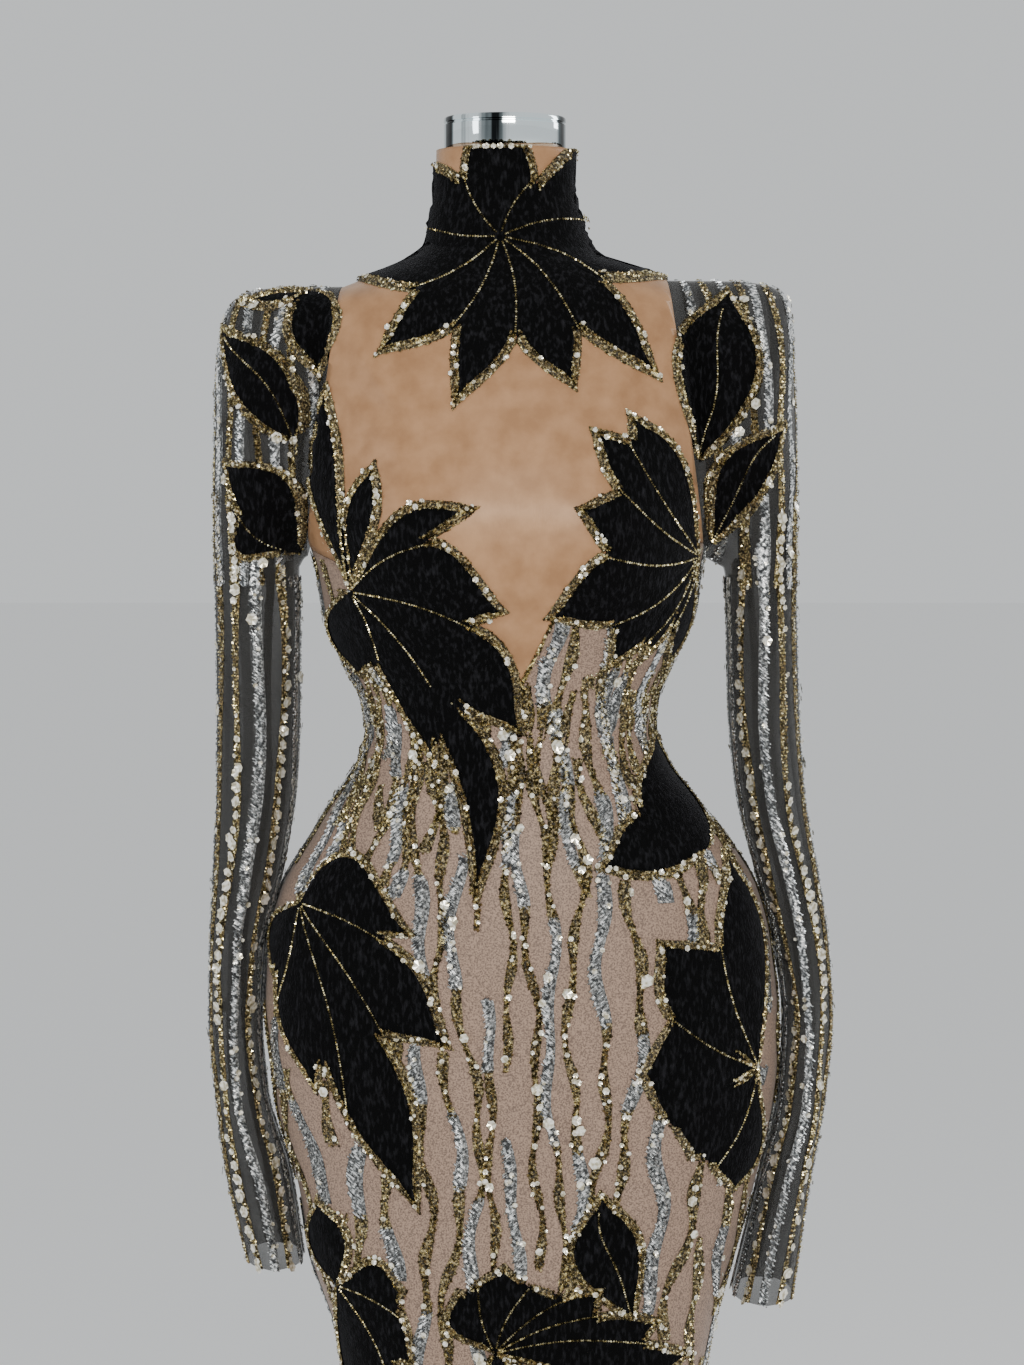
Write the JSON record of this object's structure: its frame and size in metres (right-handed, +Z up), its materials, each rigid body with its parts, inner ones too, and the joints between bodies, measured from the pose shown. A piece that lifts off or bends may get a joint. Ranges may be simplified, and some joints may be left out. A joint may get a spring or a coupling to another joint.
{
  "type": "evening gown on dress form",
  "caption": "High-necked evening gown with long net sleeves, fitted to the thigh and flared below the knee, with sewn velvet leaf sprays, on a limbless dress form",
  "frame": {"origin": "on the floor under the middle of the hem", "axes": "+Z up the form, -Y the gown's front, +X the gown's left side"},
  "size_m": [0.5764, 0.5354, 1.492],
  "materials": {
    "nude_satin": "soft satin sheen",
    "body_net": "fine dark net over nude, beaded in stripes",
    "sleeve_net": "sheer dark net, beaded in stripes",
    "velvet": "black velvet edged with gold beads",
    "form_cover": "matt",
    "chrome": "polished",
    "stand_steel": "satin",
    "zip_metal": "polished"
  },
  "bodies": {
    "gown": {"collar": "nude_satin", "yoke_front": "nude_satin", "yoke_back_left": "nude_satin", "yoke_back_right": "nude_satin", "front": "body_net", "back_left": "body_net", "back_right": "body_net", "sleeve_right": "sleeve_net", "sleeve_left": "sleeve_net", "spray_neck": "velvet", "spray_bust_right": "velvet", "spray_bust_left": "velvet", "spray_shoulder_right": "velvet", "spray_arm_right": "velvet", "spray_elbow_right": "velvet", "spray_shoulder_left": "velvet", "spray_arm_left": "velvet", "spray_waist": "velvet", "spray_hip_left": "velvet", "spray_hip_right": "velvet", "spray_thigh_right": "velvet", "spray_thigh_middle": "velvet", "spray_thigh_left": "velvet", "form_body": "form_cover", "neck_cap": "chrome", "form_plate": "stand_steel", "stand_pole": "stand_steel", "stand_base": "stand_steel", "zip_slider": "zip_metal"},
    "pull": {"zip_pull": "zip_metal"}
  },
  "joints": [
    {"name": "pull_hinge", "type": "hinge", "parent": "gown", "child": "pull", "pos_m": [0, 0.0566, 1.452], "axis": [1, 0, 0], "range_deg": [0, 110]}
  ]
}
